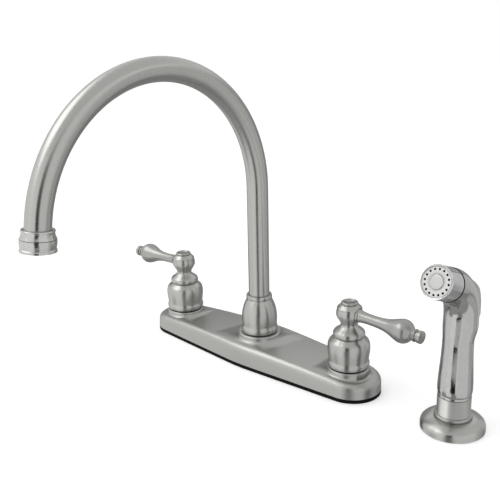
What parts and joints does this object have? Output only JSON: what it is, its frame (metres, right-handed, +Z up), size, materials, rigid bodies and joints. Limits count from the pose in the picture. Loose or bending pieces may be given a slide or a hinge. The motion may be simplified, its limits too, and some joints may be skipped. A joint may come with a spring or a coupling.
{
  "type": "side spray kitchen faucet",
  "caption": "Deck-mounted kitchen faucet: long plate, swivel gooseneck spout, lever handles on turned bonnets and a separate pull-out side spray in its holder.",
  "frame": {"origin": "on the sink deck's top, under the spout's axis", "axes": "+Z up, +X from the hot handle towards the cold handle and the side spray, -Y towards the user, where the spout points"},
  "size_m": [0.3962, 0.267, 0.3291],
  "materials": {
    "brushed_nickel": "satin brushed nickel plate",
    "brass": "plain cast and turned brass",
    "black_rubber": "matt black rubber",
    "white_plastic": "satin white moulded plastic",
    "black_plastic": "matt black moulded plastic",
    "ceramic": "ground white ceramic",
    "steel": "stainless steel"
  },
  "bodies": {
    "base": {"deck_gasket": "black_rubber", "deck_plate": "brushed_nickel", "centre_body": "brass", "spray_outlet": "brass", "spout_nut": "brushed_nickel", "spout_nut_seal": "black_rubber", "diverter_guide": "brass", "diverter_spring": "steel", "lock_nuts": "black_plastic", "shank_washers": "steel", "holder_flange": "brushed_nickel", "holder_sleeve": "brushed_nickel", "holder_gasket": "black_rubber", "holder_washer": "black_plastic", "holder_nut": "black_plastic", "hot_valve_body": "brass", "hot_waterway": "brass", "hot_cartridge": "black_plastic", "hot_fixed_disc": "ceramic", "hot_bonnet": "brushed_nickel", "hot_bonnet_seal": "black_rubber", "cold_valve_body": "brass", "cold_waterway": "brass", "cold_cartridge": "black_plastic", "cold_fixed_disc": "ceramic", "cold_bonnet": "brushed_nickel", "cold_bonnet_seal": "black_rubber"},
    "spout": {"gooseneck": "brushed_nickel", "spout_bushing": "brass", "spout_o_rings": "black_rubber", "split_ring": "white_plastic", "spout_collar": "brushed_nickel", "aerator_housing": "brushed_nickel", "aerator_screen": "white_plastic", "aerator_washer": "black_rubber"},
    "hot_handle": {"hot_hub": "brushed_nickel", "hot_lever": "brushed_nickel", "hot_index_button": "brushed_nickel", "hot_handle_screw": "steel", "hot_stem": "brass", "hot_moving_disc": "ceramic"},
    "cold_handle": {"cold_hub": "brushed_nickel", "cold_lever": "brushed_nickel", "cold_index_button": "brushed_nickel", "cold_handle_screw": "steel", "cold_stem": "brass", "cold_moving_disc": "ceramic"},
    "wand": {"wand_body": "brushed_nickel", "head_shell": "brushed_nickel", "spray_face": "white_plastic", "face_button": "white_plastic", "wand_tail": "black_plastic", "base_ring": "brushed_nickel", "trigger_pin": "steel", "trigger_spring": "steel"},
    "trigger": {"trigger_lever": "brushed_nickel"},
    "plunger": {"valve_plunger": "steel"},
    "diverter": {"diverter_plunger": "brass"}
  },
  "joints": [
    {"name": "spout_swivel", "type": "hinge", "parent": "base", "child": "spout", "pos_m": [0, 0, 0.04], "axis": [0, 0, 1], "continuous": true},
    {"name": "hot_handle_turn", "type": "hinge", "parent": "base", "child": "hot_handle", "pos_m": [-0.1016, 0, 0.05], "axis": [0, 0, 1], "range_deg": [0, 90]},
    {"name": "cold_handle_turn", "type": "hinge", "parent": "base", "child": "cold_handle", "pos_m": [0.1016, 0, 0.05], "axis": [0, 0, 1], "range_deg": [-90, 0]},
    {"name": "wand_lift", "type": "slide", "parent": "base", "child": "wand", "axis": [0, 0, 1], "range_m": [0, 0.15]},
    {"name": "trigger_press", "type": "hinge", "parent": "wand", "child": "trigger", "pos_m": [0.1997, 0.00805, 0.1184], "axis": [-1, 0, 0], "range_deg": [0, 5], "stiffness_Nm_per_rad": 0.8, "springref_deg": -5.73},
    {"name": "plunger_slide", "type": "slide", "parent": "wand", "child": "plunger", "axis": [0, -1, 0], "range_m": [0, 0.0023], "deforming": ["trigger_spring"]},
    {"name": "diverter_slide", "type": "slide", "parent": "base", "child": "diverter", "axis": [0, 0, 1], "range_m": [0, 0.0025], "stiffness_N_per_m": 40, "springref_m": -0.002, "deforming": ["diverter_spring"]}
  ],
  "couplings": [
    {"joint": "plunger_slide", "follows": "trigger_press", "m_per_rad": 0.0257}
  ]
}
